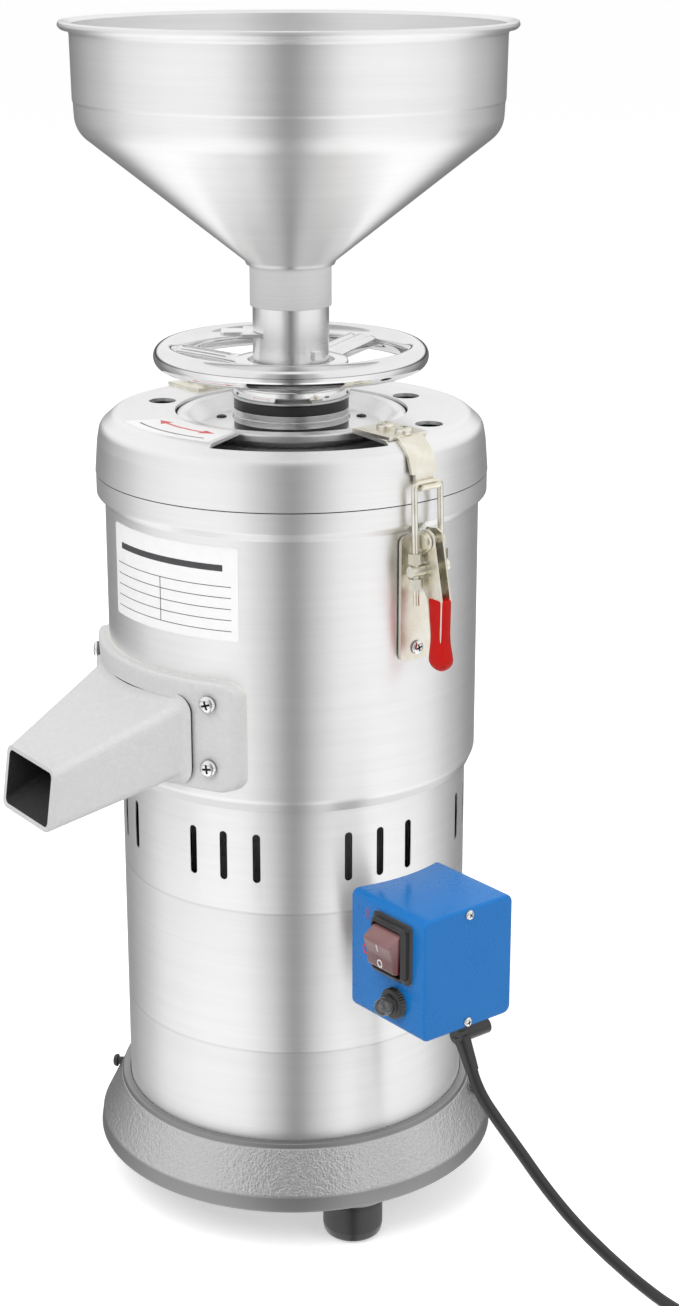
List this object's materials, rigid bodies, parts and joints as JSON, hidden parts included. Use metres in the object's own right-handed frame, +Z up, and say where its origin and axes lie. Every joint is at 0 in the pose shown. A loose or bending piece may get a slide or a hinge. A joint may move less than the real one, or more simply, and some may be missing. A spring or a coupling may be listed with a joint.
{
  "type": "nut butter grinder",
  "caption": "Upright electric mill for nut butter with a lift-off hopper, a chromed adjusting handwheel, a cast side spout, over-centre latches and a switch box.",
  "frame": {"origin": "on the floor under the machine's vertical axis", "axes": "+Z up along the motor shaft; the front faces -Y, the spout points to -X and -Y, the switch box to +X and -Y"},
  "size_m": [0.4498, 0.4717, 0.7093],
  "materials": {
    "brushed_sheet": "brushed",
    "base_paint": "hammered",
    "cover_steel": "satin",
    "foot_rubber": "satin",
    "zinc_steel": "zinc plated",
    "bright_screws": "bright",
    "dark_screws": "black oxide",
    "motor_castings": "as cast",
    "bearing_steel": "ground",
    "lamination_steel": "laminated",
    "copper_wire": "enamelled copper",
    "fan_plastic": "moulded",
    "cast_spout": "sand cast",
    "food_steel": "machined",
    "grind_steel": "ground",
    "chrome_wheel": "polished",
    "grip_vinyl": "dip coated",
    "box_plastic": "gloss",
    "black_plastic": "moulded",
    "rocker_red": "translucent red",
    "clear_cap": "clear",
    "cord_rubber": "matt"
  },
  "bodies": {
    "root": {"base_casting": "base_paint", "bottom_cover": "cover_steel", "rubber_feet": "foot_rubber", "foot_bolts": "zinc_steel", "base_screws": "dark_screws", "motor_shell": "brushed_sheet", "lower_end_shield": "motor_castings", "upper_end_shield": "motor_castings", "bearings": "bearing_steel", "tie_bolts": "zinc_steel", "stator_core": "lamination_steel", "stator_windings": "copper_wire", "shaft_seal": "foot_rubber", "grinding_bowl": "cast_spout", "head_casting": "cast_spout", "upper_shell": "brushed_sheet", "lid_cover": "brushed_sheet", "cover_disc": "brushed_sheet", "disc_screws": "dark_screws", "lower_buffer": "foot_rubber", "spacer_rings": "chrome_wheel", "upper_buffer": "foot_rubber", "outlet_spout": "cast_spout", "spout_gasket": "foot_rubber", "spout_screws": "bright_screws", "front_strap": "zinc_steel", "rear_strap": "zinc_steel", "strap_bolts": "zinc_steel", "front_latch_base": "zinc_steel", "rear_latch_base": "zinc_steel", "latch_screws": "bright_screws", "control_box": "box_plastic", "box_screws": "bright_screws", "switch_bezel": "black_plastic", "reset_nut": "black_plastic", "cord_gland": "black_plastic", "power_cord": "cord_rubber", "cord_coil": "cord_rubber", "plug": "cord_rubber"},
    "rotor": {"motor_shaft": "bearing_steel", "rotor_core": "lamination_steel", "cooling_fan": "fan_plastic", "slinger": "food_steel", "lower_grinding_disc": "grind_steel", "feed_impeller": "food_steel"},
    "holder": {"disc_holder": "food_steel", "upper_grinding_disc": "grind_steel", "feed_tube": "brushed_sheet"},
    "wheel": {"handwheel": "chrome_wheel"},
    "gate": {"feed_gate": "brushed_sheet"},
    "hopper_body": {"hopper_collar": "brushed_sheet", "hopper": "brushed_sheet"},
    "front_lever_body": {"front_lever": "zinc_steel", "front_grip": "grip_vinyl"},
    "rear_lever_body": {"rear_lever": "zinc_steel", "rear_grip": "grip_vinyl"},
    "front_ubolt_body": {"front_ubolt": "zinc_steel"},
    "rear_ubolt_body": {"rear_ubolt": "zinc_steel"},
    "rocker_body": {"rocker": "rocker_red"},
    "reset_body": {"reset_button": "clear_cap"}
  },
  "joints": [
    {"name": "rotor_spin", "type": "hinge", "parent": "root", "child": "rotor", "pos_m": [0, 0, 0.3], "axis": [0, 0, 1], "continuous": true},
    {"name": "wheel_turn", "type": "hinge", "parent": "root", "child": "wheel", "pos_m": [0, 0, 0.51], "axis": [0, 0, 1], "range_deg": [0, 300]},
    {"name": "holder_lift", "type": "slide", "parent": "root", "child": "holder", "axis": [0, 0, 1], "range_m": [0, 0.00167]},
    {"name": "gate_slide", "type": "slide", "parent": "holder", "child": "gate", "axis": [-1, 0, 0], "range_m": [0, 0.024]},
    {"name": "hopper_lift", "type": "slide", "parent": "holder", "child": "hopper_body", "axis": [0, 0, 1], "range_m": [0, 0.05]},
    {"name": "front_lever_swing", "type": "hinge", "parent": "root", "child": "front_lever_body", "pos_m": [0.07688, -0.09665, 0.435], "axis": [-0.7826, -0.6225, 0], "range_deg": [0, 70]},
    {"name": "front_ubolt_swing", "type": "hinge", "parent": "front_lever_body", "child": "front_ubolt_body", "pos_m": [0.07564, -0.09509, 0.4185], "axis": [-0.7826, -0.6225, 0], "range_deg": [-49.1, 0]},
    {"name": "rear_lever_swing", "type": "hinge", "parent": "root", "child": "rear_lever_body", "pos_m": [-0.07688, 0.09665, 0.435], "axis": [0.7826, 0.6225, 0], "range_deg": [0, 70]},
    {"name": "rear_ubolt_swing", "type": "hinge", "parent": "rear_lever_body", "child": "rear_ubolt_body", "pos_m": [-0.07564, 0.09509, 0.4185], "axis": [0.7826, 0.6225, 0], "range_deg": [-49.1, 0]},
    {"name": "rocker_tilt", "type": "hinge", "parent": "root", "child": "rocker_body", "pos_m": [0.05446, -0.13129, 0.2042], "axis": [-0.6046, 0.7965, 0], "range_deg": [0, 24]},
    {"name": "reset_press", "type": "slide", "parent": "root", "child": "reset_body", "axis": [0.7965, 0.6046, 0], "range_m": [0, 0.0025], "stiffness_N_per_m": 300}
  ],
  "couplings": [
    {"joint": "holder_lift", "follows": "wheel_turn", "m_per_rad": 0.00031831},
    {"joint": "front_ubolt_swing", "follows": "front_lever_swing", "ratio": -0.7},
    {"joint": "rear_ubolt_swing", "follows": "rear_lever_swing", "ratio": -0.7}
  ]
}
